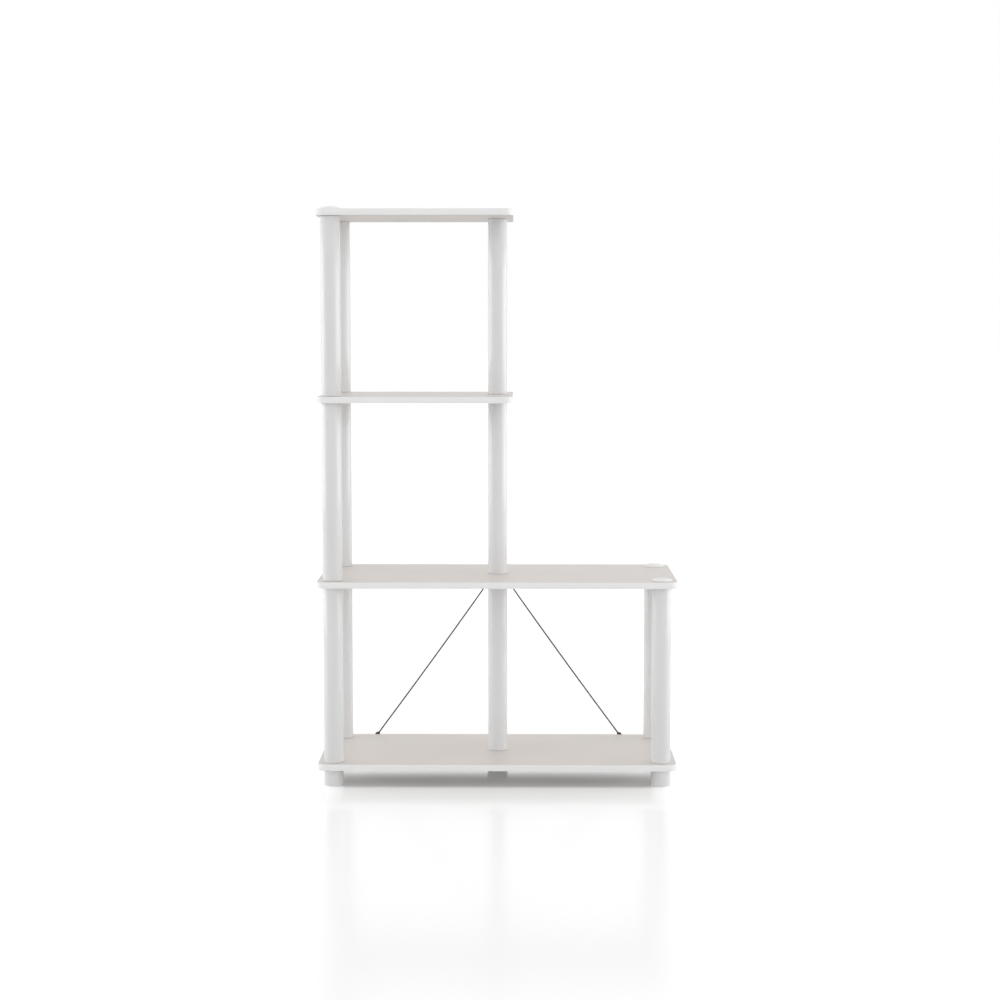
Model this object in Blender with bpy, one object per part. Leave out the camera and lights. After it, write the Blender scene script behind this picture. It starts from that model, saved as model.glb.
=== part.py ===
"""Cube bookcase: laminated boards on hollow plastic posts that screw together through the boards.

The low base has two wide boards on five posts and five short feet. The tower has two small
boards on three posts a tier, and stands on the left half of the base. Every tier is clamped
the same way: the stud of a plug in the lower end of a post passes through the board under it
and screws into a socket in the post or foot below. Where no post stands on a board, a domed
cap brings the stud. Two brace wires cross the open back of the base.

Frame: metres, +X right, +Y back, +Z up. The origin is on the floor under the centre post.
"""

import math

import bmesh
import bpy
from mathutils import Vector

MM = 0.001

# Boards
WIDE_BOARD_WIDTH = 600.0 * MM
BOARD_DEPTH = 250.0 * MM
BOARD_THICKNESS = 10.5 * MM
CORNER_RADIUS = 15.0 * MM
EDGE_BAND_THICKNESS = 1.0 * MM

# Post grid: how far the posts' axes stand in from the boards' ends and long sides
WIDE_END_INSET = 26.0 * MM
SMALL_LEFT_INSET = 23.5 * MM
SMALL_RIGHT_INSET = 26.5 * MM
SIDE_INSET = 26.0 * MM

# Heights
FOOT_HEIGHT = 28.0 * MM
BAY_HEIGHT = 296.0 * MM

# Hollow posts
POST_DIAMETER = 32.5 * MM
POST_WALL = 1.5 * MM

# Mouldings that screw together: an outer skirt and a middle boss, joined by webs
PLUG_LENGTH = 14.0 * MM
PLUG_FLOOR = 3.0 * MM
SKIRT_WALL = 1.6 * MM
BOSS_WALL = 2.2 * MM
WEB_COUNT = 3
WEB_HALF_ANGLE = math.radians(6.0)
STUD_DIAMETER = 12.0 * MM
STUD_ENGAGEMENT = 11.0 * MM
STUD_LEAD = 1.5 * MM

# Caps and feet
CAP_DIAMETER = 34.0 * MM
CAP_HEIGHT = 4.5 * MM
CAP_RIM = 1.0 * MM
FOOT_SOLE = 4.0 * MM
FOOT_CHAMFER = 0.6 * MM

# Brace wires and their screws: the lower screws stand in from the boards' ends, the upper one
# a little below the middle of the board's edge, and each wire bows slightly inward
WIRE_DIAMETER = 2.3 * MM
WIRE_END_INSET = 80.5 * MM
WIRE_BOW = 1.1 * MM
UPPER_SCREW_DROP = 1.5 * MM
TAB_WIDTH = 8.5 * MM
TAB_THICKNESS = 1.2 * MM
TAB_REACH = 12.5 * MM
TAB_STRAIGHT = 7.5 * MM
TAB_NECK = 3.0 * MM
SCREW_DIAMETER = 3.0 * MM
SCREW_LENGTH = 14.0 * MM
SCREW_TIP = 2.5 * MM
SCREW_POINT_DIAMETER = 0.6 * MM
SCREW_HEAD_DIAMETER = 7.0 * MM
SCREW_HEAD_HEIGHT = 2.2 * MM
SCREW_HEAD_SIDE = 1.0 * MM

# Clearances between touching pieces
SEAT_GAP = 0.3 * MM
PLUG_FIT = 0.3 * MM
STUD_FIT = 0.3 * MM
BOARD_HOLE_FIT = 0.5 * MM
SCREW_FIT = 0.3 * MM

# Facets
POST_FACETS = 24
HOLE_FACETS = 16
SCREW_FACETS = 12
CORNER_FACETS = 5
PLUG_POCKET_FACETS = 3
FOOT_POCKET_FACETS = 7
CAP_DOME_RINGS = 3
SCREW_DOME_RINGS = 2
TAB_ROUND_RINGS = 4
TAB_NECK_RINGS = 3
WIRE_BOW_RINGS = 6

# How far a drill starts outside the face that it cuts
DRILL_OVERRUN = 5.0 * MM

# Where the posts stand, and which of them carry the tower
POST_X = WIDE_BOARD_WIDTH / 2 - WIDE_END_INSET
POST_Y = BOARD_DEPTH / 2 - SIDE_INSET
BASE_PLACES = {
    "front_left": (-POST_X, -POST_Y),
    "back_left": (-POST_X, POST_Y),
    "centre": (0.0, 0.0),
    "front_right": (POST_X, -POST_Y),
    "back_right": (POST_X, POST_Y),
}
TOWER_PLACES = {name: BASE_PLACES[name] for name in ("front_left", "back_left", "centre")}

# Undersides of the four boards, each a bay above the last
TIER = BOARD_THICKNESS + BAY_HEIGHT
BOTTOM_Z = FOOT_HEIGHT
MIDDLE_Z = BOTTOM_Z + TIER
UPPER_Z = MIDDLE_Z + TIER
TOP_Z = UPPER_Z + TIER
LOWER_SCREW_Z = BOTTOM_Z + BOARD_THICKNESS / 2
UPPER_SCREW_Z = MIDDLE_Z + BOARD_THICKNESS / 2 - UPPER_SCREW_DROP

POST_RADIUS = POST_DIAMETER / 2
POST_BORE_RADIUS = POST_RADIUS - POST_WALL
PLUG_RADIUS = POST_BORE_RADIUS - PLUG_FIT
STUD_RADIUS = STUD_DIAMETER / 2
SOCKET_RADIUS = STUD_RADIUS + STUD_FIT
BOSS_RADIUS = SOCKET_RADIUS + BOSS_WALL
WIRE_SPREAD = WIDE_BOARD_WIDTH / 2 - WIRE_END_INSET
STUD_LENGTH = BOARD_THICKNESS + 2 * SEAT_GAP + STUD_ENGAGEMENT

# Finishes: colour, roughness, metallic
FINISHES = {
    "board_face": ((0.66, 0.64, 0.61), 0.45, 0.0),
    "edge_band": ((0.80, 0.80, 0.80), 0.40, 0.0),
    "post": ((0.82, 0.82, 0.82), 0.30, 0.0),
    "cap": ((0.84, 0.84, 0.84), 0.35, 0.0),
    "foot": ((0.76, 0.76, 0.76), 0.35, 0.0),
    "fitting": ((0.72, 0.72, 0.70), 0.50, 0.0),
    "brace_wire": ((0.12, 0.12, 0.13), 0.40, 0.8),
    "screw": ((0.02, 0.02, 0.02), 0.45, 0.6),
}


def clear_scene():
    """Remove what the scene already holds."""
    for item in list(bpy.data.objects):
        bpy.data.objects.remove(item, do_unlink=True)


def finish(name):
    """Return the named finish as a material, made once."""
    material = bpy.data.materials.get(name)
    if material is None:
        colour, roughness, metallic = FINISHES[name]
        material = bpy.data.materials.new(name)
        material.use_nodes = True
        shader = material.node_tree.nodes["Principled BSDF"]
        shader.inputs["Base Color"].default_value = (*colour, 1.0)
        shader.inputs["Roughness"].default_value = roughness
        shader.inputs["Metallic"].default_value = metallic
        material.diffuse_color = (*colour, 1.0)
    return material


def mesh_from(bm, name, finish_name, smooth_angle=math.radians(35)):
    """Turn a bmesh into a mesh with its normals out, its finish and its smoothing."""
    bmesh.ops.recalc_face_normals(bm, faces=bm.faces)
    mesh = bpy.data.meshes.new(name)
    bm.to_mesh(mesh)
    bm.free()
    mesh.materials.append(finish(finish_name))
    mesh.shade_smooth()
    mesh.set_sharp_from_angle(angle=smooth_angle)
    return mesh


def place(name, mesh, location=(0.0, 0.0, 0.0), rotation=(0.0, 0.0, 0.0)):
    """Add one named piece to the scene."""
    piece = bpy.data.objects.new(name, mesh)
    piece.location = location
    piece.rotation_euler = rotation
    bpy.context.collection.objects.link(piece)
    return piece


def cutter(name, mesh, location=(0.0, 0.0, 0.0), rotation=(0.0, 0.0, 0.0)):
    """Add a shape that only cuts others."""
    tool = place(name, mesh, location, rotation)
    tool.hide_render = True
    tool.display_type = "WIRE"
    return tool


def cut(piece, tool):
    """Subtract a cutter from a piece."""
    modifier = piece.modifiers.new(tool.name, "BOOLEAN")
    modifier.operation = "DIFFERENCE"
    modifier.solver = "EXACT"
    modifier.object = tool


def circumscribed(radius, facets):
    """Radius of a polygon's corners whose sides stay outside the circle."""
    return radius / math.cos(math.pi / facets)


def even_angles(facets):
    """Angles of a regular polygon's corners."""
    return [2 * math.pi * k / facets for k in range(facets)]


def ring(bm, radius, z, angles):
    """Add one level ring of points about the Z axis."""
    return [bm.verts.new((radius * math.cos(a), radius * math.sin(a), z)) for a in angles]


def join_rings(bm, lower, upper):
    """Close the band between two rings of as many points, and return its faces."""
    count = len(lower)
    return [
        bm.faces.new((lower[k], lower[(k + 1) % count], upper[(k + 1) % count], upper[k]))
        for k in range(count)
    ]


def turned(profile, angles):
    """Revolve a profile of (radius, z) pairs; its ends close with flat discs."""
    bm = bmesh.new()
    rings = [ring(bm, radius, z, angles) for radius, z in profile]
    for lower, upper in zip(rings, rings[1:]):
        join_rings(bm, lower, upper)
    bm.faces.new(rings[0])
    bm.faces.new(rings[-1])
    return bm


def dome(radius, low, high, rings):
    """Rings of a dome between its rim at low and its crown at high, both left out."""
    angles = [math.pi / 2 * k / (rings + 1) for k in range(1, rings + 1)]
    return [(radius * math.cos(a), low + (high - low) * math.sin(a)) for a in angles]


def tube(outer, inner, length, facets):
    """A straight pipe with square ends, standing on z = 0."""
    bm = bmesh.new()
    angles = even_angles(facets)
    profile = [(outer, 0.0), (outer, length), (inner, length), (inner, 0.0)]
    rings = [ring(bm, radius, z, angles) for radius, z in profile]
    for first, second in zip(rings, rings[1:] + rings[:1]):
        join_rings(bm, first, second)
    return bm


def rounded_outline(left, right, depth, radius):
    """Corner arcs of a rounded rectangle that is centred on Y = 0, anticlockwise."""
    corners = (
        (right - radius, depth / 2 - radius, 0.0),
        (left + radius, depth / 2 - radius, math.pi / 2),
        (left + radius, radius - depth / 2, math.pi),
        (right - radius, radius - depth / 2, 1.5 * math.pi),
    )
    points = []
    for x, y, start in corners:
        for k in range(CORNER_FACETS + 1):
            angle = start + math.pi / 2 * k / CORNER_FACETS
            points.append((x + radius * math.cos(angle), y + radius * math.sin(angle)))
    return points


def slab(outline, bottom, top):
    """A flat plate with the given outline."""
    bm = bmesh.new()
    low = [bm.verts.new((x, y, bottom)) for x, y in outline]
    high = [bm.verts.new((x, y, top)) for x, y in outline]
    join_rings(bm, low, high)
    bm.faces.new(low)
    bm.faces.new(high)
    return bm


def wall_ring(outer, inner, bottom, top):
    """An upright strip that runs round between two outlines of as many points."""
    bm = bmesh.new()
    loops = []
    for outline, z in ((outer, bottom), (outer, top), (inner, top), (inner, bottom)):
        loops.append([bm.verts.new((x, y, z)) for x, y in outline])
    for first, second in zip(loops, loops[1:] + loops[:1]):
        join_rings(bm, first, second)
    return bm


def board(name, left, right, underside, places):
    """A laminated board with its edge band, and a hole for each stud that passes it."""
    top = underside + BOARD_THICKNESS
    inset = EDGE_BAND_THICKNESS + SEAT_GAP
    outer = rounded_outline(left, right, BOARD_DEPTH, CORNER_RADIUS)
    band_inner = rounded_outline(
        left + EDGE_BAND_THICKNESS,
        right - EDGE_BAND_THICKNESS,
        BOARD_DEPTH - 2 * EDGE_BAND_THICKNESS,
        CORNER_RADIUS - EDGE_BAND_THICKNESS,
    )
    core = rounded_outline(left + inset, right - inset, BOARD_DEPTH - 2 * inset, CORNER_RADIUS - inset)
    panel = place(name, mesh_from(slab(core, underside, top), name, "board_face"))
    band_mesh = mesh_from(wall_ring(outer, band_inner, underside, top), name + "_edge", "edge_band")
    band = place(name + "_edge", band_mesh)

    radius = circumscribed(STUD_RADIUS + BOARD_HOLE_FIT, HOLE_FACETS)
    drill = turned(
        [(radius, underside - DRILL_OVERRUN), (radius, top + DRILL_OVERRUN)],
        even_angles(HOLE_FACETS),
    )
    drill_mesh = mesh_from(drill, "stud_drill", "board_face")
    for place_name, (x, y) in places.items():
        cut(panel, cutter(f"{name}_drill_{place_name}", drill_mesh, (x, y, 0.0)))
    return panel, band


def web_pitch():
    """Angle that a pocket between two webs spans."""
    return 2 * math.pi / WEB_COUNT - 2 * WEB_HALF_ANGLE


def webbed_angles(pocket_facets):
    """Angles of a moulding's corners: each web takes one side, each pocket the next few."""
    angles = []
    for web in range(WEB_COUNT):
        start = 2 * math.pi * web / WEB_COUNT + WEB_HALF_ANGLE
        angles.append(start - 2 * WEB_HALF_ANGLE)
        angles.extend(start + web_pitch() * k / pocket_facets for k in range(pocket_facets))
    return angles


def socket_corner_radius(pocket_facets):
    """Radius of a faceted socket's corners whose widest sides still clear the stud."""
    return SOCKET_RADIUS / math.cos(web_pitch() / pocket_facets / 2)


def webbed_moulding(outside, bore, floor, pocket_facets, through=False):
    """A turned moulding with pockets sunk between its webs from its open end.

    outside runs from the closed end to the rim of the open end, and bore goes on from the boss
    inwards, both as (radius, z). floor is the height of the pockets' floors. A bore that runs
    right through joins its last ring to the first of all.
    """
    rim_radius, open_z = outside[-1]
    angles = webbed_angles(pocket_facets)
    profile = outside + [(rim_radius - SKIRT_WALL, open_z), (BOSS_RADIUS, open_z)] + bore
    bm = bmesh.new()
    rings = [ring(bm, radius, z, angles) for radius, z in profile]
    bands = [join_rings(bm, first, second) for first, second in zip(rings, rings[1:])]
    if through:
        join_rings(bm, rings[-1], rings[0])
    else:
        bm.faces.new(rings[0])
        bm.faces.new(rings[-1])

    between = bands[len(outside)]
    for web in range(WEB_COUNT):
        first = web * (pocket_facets + 1) + 1
        sink = between[first : first + pocket_facets]
        moved = bmesh.ops.extrude_face_region(bm, geom=sink)["geom"]
        sunk = [item for item in moved if isinstance(item, bmesh.types.BMVert)]
        bmesh.ops.translate(bm, verts=sunk, vec=(0.0, 0.0, floor - open_z))
        bmesh.ops.delete(bm, geom=sink, context="FACES_ONLY")
    return bm


def stud_profile():
    """Rings of a stud that hangs below z = 0, tip first."""
    return [
        (STUD_RADIUS - STUD_LEAD / 2, -STUD_LENGTH),
        (STUD_RADIUS, STUD_LEAD - STUD_LENGTH),
        (STUD_RADIUS, 0.0),
    ]


def stud_plug():
    """The plug in a post's lower end: its face lies on z = 0, its stud hangs below."""
    outside = stud_profile() + [(PLUG_RADIUS, 0.0), (PLUG_RADIUS, PLUG_LENGTH)]
    return webbed_moulding(outside, [], PLUG_FLOOR, PLUG_POCKET_FACETS)


def socket_plug():
    """The plug in a post's upper end, drawn face down: its face on z = 0, bored right through."""
    radius = socket_corner_radius(PLUG_POCKET_FACETS)
    outside = [(radius, 0.0), (PLUG_RADIUS, 0.0), (PLUG_RADIUS, PLUG_LENGTH)]
    bore = [(radius, PLUG_LENGTH)]
    return webbed_moulding(outside, bore, PLUG_FLOOR, PLUG_POCKET_FACETS, through=True)


def foot():
    """A short foot as wide as a post: closed sole on z = 0, blind socket in its open top."""
    top = FOOT_HEIGHT - SEAT_GAP
    radius = socket_corner_radius(FOOT_POCKET_FACETS)
    outside = [(POST_RADIUS - FOOT_CHAMFER, 0.0), (POST_RADIUS, FOOT_CHAMFER), (POST_RADIUS, top)]
    bore = [(radius, top), (radius, FOOT_SOLE)]
    return webbed_moulding(outside, bore, FOOT_SOLE, FOOT_POCKET_FACETS)


def cap():
    """A domed cap whose flat underside lies on z = 0, with its stud below."""
    rim = CAP_DIAMETER / 2
    profile = stud_profile() + [(rim, 0.0), (rim, CAP_RIM)]
    profile.extend(dome(rim, CAP_RIM, CAP_HEIGHT, CAP_DOME_RINGS))
    bm = turned(profile, even_angles(POST_FACETS))
    bmesh.ops.recalc_face_normals(bm, faces=bm.faces)
    bm.faces.ensure_lookup_table()
    bmesh.ops.poke(bm, faces=[bm.faces[-1]], offset=CAP_HEIGHT - profile[-1][1])
    return bm


def build_posts():
    """Every post with its two plugs, tier by tier, then the caps and the feet."""
    length = BAY_HEIGHT - 2 * SEAT_GAP
    post_mesh = mesh_from(tube(POST_RADIUS, POST_BORE_RADIUS, length, POST_FACETS), "post", "post")
    stud_mesh = mesh_from(stud_plug(), "stud_plug", "fitting")
    socket_mesh = mesh_from(socket_plug(), "socket_plug", "fitting")
    cap_mesh = mesh_from(cap(), "cap", "cap")
    foot_mesh = mesh_from(foot(), "foot", "foot")
    face_up = (math.pi, 0.0, 0.0)

    tiers = (
        ("base", BOTTOM_Z, BASE_PLACES),
        ("tower_lower", MIDDLE_Z, TOWER_PLACES),
        ("tower_upper", UPPER_Z, TOWER_PLACES),
    )
    for tier, board_z, places in tiers:
        low_z = board_z + BOARD_THICKNESS + SEAT_GAP
        for name, (x, y) in places.items():
            place(f"{tier}_post_{name}", post_mesh, (x, y, low_z))
            place(f"{tier}_stud_plug_{name}", stud_mesh, (x, y, low_z))
            place(f"{tier}_socket_plug_{name}", socket_mesh, (x, y, low_z + length), face_up)

    for name, (x, y) in BASE_PLACES.items():
        board_z = TOP_Z if name in TOWER_PLACES else MIDDLE_Z
        place(f"cap_{name}", cap_mesh, (x, y, board_z + BOARD_THICKNESS + SEAT_GAP))
        place(f"foot_{name}", foot_mesh, (x, y, 0.0))


def wire_section(along, span):
    """Half width and half thickness of a brace wire at a distance from its lower screw."""
    from_screw = min(abs(along), abs(span - along))
    outward = along < 0 or along > span
    half_width, half_thickness = TAB_WIDTH / 2, TAB_THICKNESS / 2
    end_round = TAB_REACH - half_width
    if outward and from_screw > end_round:
        reach = min(from_screw - end_round, half_width)
        return math.sqrt(max(half_width**2 - reach**2, 0.0)), half_thickness
    if outward or from_screw <= TAB_STRAIGHT:
        return half_width, half_thickness
    wire_radius = WIRE_DIAMETER / 2
    share = min((from_screw - TAB_STRAIGHT) / TAB_NECK, 1.0)
    ease = share * share * (3 - 2 * share)
    return (
        half_width + (wire_radius - half_width) * ease,
        half_thickness + (wire_radius - half_thickness) * ease,
    )


def wire_stations(span):
    """Distances from the lower screw at which the wire's section is drawn, low end first."""
    half_width = TAB_WIDTH / 2
    end_round = TAB_REACH - half_width
    turn = math.pi / 2 / (TAB_ROUND_RINGS + 1)
    end = [-end_round - half_width * math.sin(turn * k) for k in range(TAB_ROUND_RINGS, -1, -1)]
    neck = [TAB_STRAIGHT + TAB_NECK * k / TAB_NECK_RINGS for k in range(TAB_NECK_RINGS + 1)]
    tab = end + neck
    free = span - 2 * neck[-1]
    bow = [neck[-1] + free * k / (WIRE_BOW_RINGS + 1) for k in range(1, WIRE_BOW_RINGS + 1)]
    return tab + bow + [span - distance for distance in reversed(tab)]


def wire_bow(along, span):
    """How far the wire's middle line bows off the line between its screws at a distance."""
    start = TAB_STRAIGHT + TAB_NECK
    share = min(max((along - start) / (span - 2 * start), 0.0), 1.0)
    return 4 * WIRE_BOW * share * (1 - share)


def brace_wire(name, hand, upper_plane):
    """A wire from a lower screw to the shared upper one, flattened to a tab at each end."""
    lower = Vector((hand * WIRE_SPREAD, 0.0, LOWER_SCREW_Z))
    upper = Vector((0.0, 0.0, UPPER_SCREW_Z))
    span = (upper - lower).length
    direction = (upper - lower).normalized()
    across = Vector((direction.z, 0.0, -direction.x))
    lower_plane = BOARD_DEPTH / 2 + SEAT_GAP

    bm = bmesh.new()
    sections = []
    for along in wire_stations(span):
        half_width, half_thickness = wire_section(along, span)
        share = min(max(along / span, 0.0), 1.0)
        inner_face = lower_plane + (upper_plane - lower_plane) * share
        middle = lower + direction * along - across * (hand * wire_bow(along, span))
        side = half_thickness * math.tan(math.pi / 8)
        flat = half_width - half_thickness + side
        shape = [
            (half_width, side),
            (flat, half_thickness),
            (-flat, half_thickness),
            (-half_width, side),
            (-half_width, -side),
            (-flat, -half_thickness),
            (flat, -half_thickness),
            (half_width, -side),
        ]
        sections.append([
            bm.verts.new(middle + across * wide + Vector((0.0, inner_face + half_thickness + deep, 0.0)))
            for wide, deep in shape
        ])
    for first, second in zip(sections, sections[1:]):
        join_rings(bm, first, second)
    bm.faces.new(sections[0])
    bm.faces.new(sections[-1])
    wire = place(name, mesh_from(bm, name, "brace_wire"))

    radius = circumscribed(SCREW_DIAMETER / 2 + SCREW_FIT, SCREW_FACETS)
    drill = turned([(radius, -DRILL_OVERRUN), (radius, DRILL_OVERRUN)], even_angles(SCREW_FACETS))
    drill_mesh = mesh_from(drill, "tab_drill", "brace_wire")
    for end, screw in (("lower", lower), ("upper", upper)):
        spot = (screw.x, BOARD_DEPTH / 2, screw.z)
        cut(wire, cutter(f"{name}_drill_{end}", drill_mesh, spot, (math.pi / 2, 0.0, 0.0)))
    return wire


def screw_shape(length):
    """A pan-head wood screw along +Z, head on top; z = 0 is the underside of its head."""
    shank = SCREW_DIAMETER / 2
    head = SCREW_HEAD_DIAMETER / 2
    profile = [
        (SCREW_POINT_DIAMETER / 2, -length),
        (shank, SCREW_TIP - length),
        (shank, 0.0),
        (head, 0.0),
        (head, SCREW_HEAD_SIDE),
    ]
    profile.extend(dome(head, SCREW_HEAD_SIDE, SCREW_HEAD_HEIGHT, SCREW_DOME_RINGS))
    return turned(profile, even_angles(SCREW_FACETS))


def build_braces(bottom, middle):
    """Both brace wires, their three screws, and the pilot holes in the boards' back edges."""
    back = BOARD_DEPTH / 2
    tab_step = TAB_THICKNESS + SEAT_GAP
    first_plane = back + SEAT_GAP
    brace_wire("brace_wire_left", -1, first_plane)
    brace_wire("brace_wire_right", 1, first_plane + tab_step)

    screws = (
        ("brace_screw_lower_left", -WIRE_SPREAD, LOWER_SCREW_Z, 1, bottom),
        ("brace_screw_lower_right", WIRE_SPREAD, LOWER_SCREW_Z, 1, bottom),
        ("brace_screw_upper", 0.0, UPPER_SCREW_Z, 2, middle),
    )
    facing_back = (-math.pi / 2, 0.0, 0.0)
    for name, x, z, tabs, (panel, band) in screws:
        head_y = first_plane + tabs * tab_step
        length = SCREW_LENGTH + head_y - back
        mesh = mesh_from(screw_shape(length), name, "screw")
        place(name, mesh, (x, head_y, z), facing_back)
        radius = circumscribed(SCREW_DIAMETER / 2 + SCREW_FIT, SCREW_FACETS)
        depths = [(radius, -SCREW_LENGTH - SCREW_FIT), (radius, DRILL_OVERRUN)]
        pilot = turned(depths, even_angles(SCREW_FACETS))
        pilot_mesh = mesh_from(pilot, name + "_pilot", "board_face")
        tool = cutter(name + "_pilot", pilot_mesh, (x, back, z), facing_back)
        cut(panel, tool)
        cut(band, tool)


def build_boards():
    """All four boards with their edge bands; return the two that carry brace screws."""
    half = WIDE_BOARD_WIDTH / 2
    small_left = -POST_X - SMALL_LEFT_INSET
    bottom = board("bottom_shelf", -half, half, BOTTOM_Z, BASE_PLACES)
    middle = board("middle_shelf", -half, half, MIDDLE_Z, BASE_PLACES)
    board("upper_shelf", small_left, SMALL_RIGHT_INSET, UPPER_Z, TOWER_PLACES)
    board("top_shelf", small_left, SMALL_RIGHT_INSET, TOP_Z, TOWER_PLACES)
    return bottom, middle


def main():
    clear_scene()
    bottom, middle = build_boards()
    build_posts()
    build_braces(bottom, middle)


main()
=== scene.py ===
"""Looks of a cube bookcase: white laminated boards on hollow plastic posts, braced with wire.

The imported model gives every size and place. Each visible piece is modelled finer here, keeps to
the outline of the solid that it stands for, and gets a procedural finish.
"""

import logging
import math
from collections.abc import Callable, Iterable, Sequence
from dataclasses import dataclass
from enum import Enum
from functools import cache, cached_property
from typing import ClassVar

import bmesh
import bpy
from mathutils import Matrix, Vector

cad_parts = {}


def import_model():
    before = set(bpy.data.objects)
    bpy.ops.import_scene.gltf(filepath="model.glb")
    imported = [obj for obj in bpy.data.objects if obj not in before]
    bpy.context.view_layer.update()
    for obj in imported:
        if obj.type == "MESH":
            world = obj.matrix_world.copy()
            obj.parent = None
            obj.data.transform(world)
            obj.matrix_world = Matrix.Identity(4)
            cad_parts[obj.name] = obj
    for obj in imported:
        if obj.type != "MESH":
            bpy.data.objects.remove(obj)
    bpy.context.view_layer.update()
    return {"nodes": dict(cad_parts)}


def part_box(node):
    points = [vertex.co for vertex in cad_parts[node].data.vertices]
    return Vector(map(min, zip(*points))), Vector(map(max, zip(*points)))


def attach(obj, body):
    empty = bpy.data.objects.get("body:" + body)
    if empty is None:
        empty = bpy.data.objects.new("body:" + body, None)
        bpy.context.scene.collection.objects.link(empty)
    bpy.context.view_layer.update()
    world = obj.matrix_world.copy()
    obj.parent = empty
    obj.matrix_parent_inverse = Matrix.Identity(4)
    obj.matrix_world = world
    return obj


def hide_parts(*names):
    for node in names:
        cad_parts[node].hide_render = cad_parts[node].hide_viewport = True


MM = 0.001
BODY = "root"
WHITE = (1.0, 1.0, 1.0, 1.0)

# A face looks up or down if the height of its normal is past this.
LEVEL = 0.9

# Sockets of a Mix node that mixes colours.
MIX_SHARE, MIX_FIRST, MIX_SECOND = 0, 6, 7
MIX_RESULT = 2

log = logging.getLogger("bookcase")

Colour = tuple[float, float, float]
Point = tuple[float, float, float]
Pair = tuple[float, float]
Piece = bpy.types.Object
Edge = bmesh.types.BMEdge
Socket = bpy.types.NodeSocket


class Place(Enum):
    """Where a post stands."""

    FRONT_LEFT = "front_left"
    BACK_LEFT = "back_left"
    CENTRE = "centre"
    FRONT_RIGHT = "front_right"
    BACK_RIGHT = "back_right"


class Tier(Enum):
    """A storey of posts."""

    BASE = "base"
    TOWER_LOWER = "tower_lower"
    TOWER_UPPER = "tower_upper"


TOWER_PLACES = (Place.FRONT_LEFT, Place.BACK_LEFT, Place.CENTRE)
TIER_PLACES = {
    Tier.BASE: tuple(Place),
    Tier.TOWER_LOWER: TOWER_PLACES,
    Tier.TOWER_UPPER: TOWER_PLACES,
}


class Signal:
    """A number that varies over a surface. Arithmetic on it adds Math nodes."""

    def __init__(self, sheet: "Sheet", socket: Socket) -> None:
        """Wrap the output that carries the number."""
        self.sheet = sheet
        self.socket = socket

    def _math(self, operation: str, first: "Number", second: "Number") -> "Signal":
        """Add one Math node."""
        return self.sheet.signal("ShaderNodeMath", {"operation": operation}, {0: first, 1: second})

    def __add__(self, other: "Number") -> "Signal":
        """Sum."""
        return self._math("ADD", self, other)

    def __radd__(self, other: "Number") -> "Signal":
        """Sum, with the number first."""
        return self._math("ADD", other, self)

    def __sub__(self, other: "Number") -> "Signal":
        """Difference."""
        return self._math("SUBTRACT", self, other)

    def __rsub__(self, other: "Number") -> "Signal":
        """Difference, with the number first."""
        return self._math("SUBTRACT", other, self)

    def __mul__(self, other: "Number") -> "Signal":
        """Product."""
        return self._math("MULTIPLY", self, other)

    def __rmul__(self, other: "Number") -> "Signal":
        """Product, with the number first."""
        return self._math("MULTIPLY", other, self)

    def most(self, other: "Number") -> "Signal":
        """The larger of two."""
        return self._math("MAXIMUM", self, other)

    def step(self, low: float, high: float) -> "Signal":
        """Rise smoothly from 0 to 1.

        Args:
            low: The value at which the rise begins.
            high: The value at which it ends.

        Returns:
            The eased step.
        """
        return self.sheet.signal(
            "ShaderNodeMapRange",
            {"interpolation_type": "SMOOTHSTEP"},
            {"Value": self, "From Min": low, "From Max": high},
            output="Result",
        )


Number = Signal | float


class Sheet:
    """The nodes of one material or world."""

    def __init__(self, tree: bpy.types.NodeTree) -> None:
        """Take over the tree that the nodes go into."""
        self.tree = tree

    def node(
        self, kind: str, settings: dict | None = None, inputs: dict | None = None
    ) -> bpy.types.Node:
        """Add a node.

        Args:
            kind: The node's type.
            settings: Its settings, which are set first.
            inputs: Values or links of its sockets, by name or number.

        Returns:
            The new node.
        """
        node = self.tree.nodes.new(kind)
        for name, value in (settings or {}).items():
            setattr(node, name, value)
        for key, value in (inputs or {}).items():
            self.feed(node.inputs[key], value)
        return node

    def feed(self, socket: Socket, value: object) -> None:
        """Link or set one input.

        Args:
            socket: The input.
            value: A signal or an output to link, or a plain value to set.
        """
        if isinstance(value, Signal):
            value = value.socket
        if isinstance(value, Socket):
            self.tree.links.new(value, socket)
        else:
            socket.default_value = value

    def signal(
        self,
        kind: str,
        settings: dict | None = None,
        inputs: dict | None = None,
        output: str | int = 0,
    ) -> Signal:
        """Add a node and wrap one of its outputs as a number."""
        return Signal(self, self.node(kind, settings, inputs).outputs[output])

    def place(self, scale: Point = (1.0, 1.0, 1.0)) -> Socket:
        """Object coordinates in metres.

        Args:
            scale: How many times a pattern repeats per metre along each axis.

        Returns:
            The vector output.
        """
        here = self.node("ShaderNodeTexCoord").outputs["Object"]
        inputs = {"Vector": here, "Scale": scale}
        return self.node("ShaderNodeMapping", {"vector_type": "POINT"}, inputs).outputs["Vector"]

    def blend(self, share: Number, first: object, second: object) -> Socket:
        """Mix two colours.

        Args:
            share: How much of the second, from 0 to 1.
            first: A colour or a colour output.
            second: The other.

        Returns:
            The mixed colour.
        """
        node = self.node("ShaderNodeMix", {"data_type": "RGBA", "clamp_factor": True})
        self.feed(node.inputs[MIX_SHARE], share)
        for number, colour in ((MIX_FIRST, first), (MIX_SECOND, second)):
            plain = isinstance(colour, tuple)
            self.feed(node.inputs[number], (*colour, 1.0) if plain else colour)
        return node.outputs[MIX_RESULT]


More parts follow.
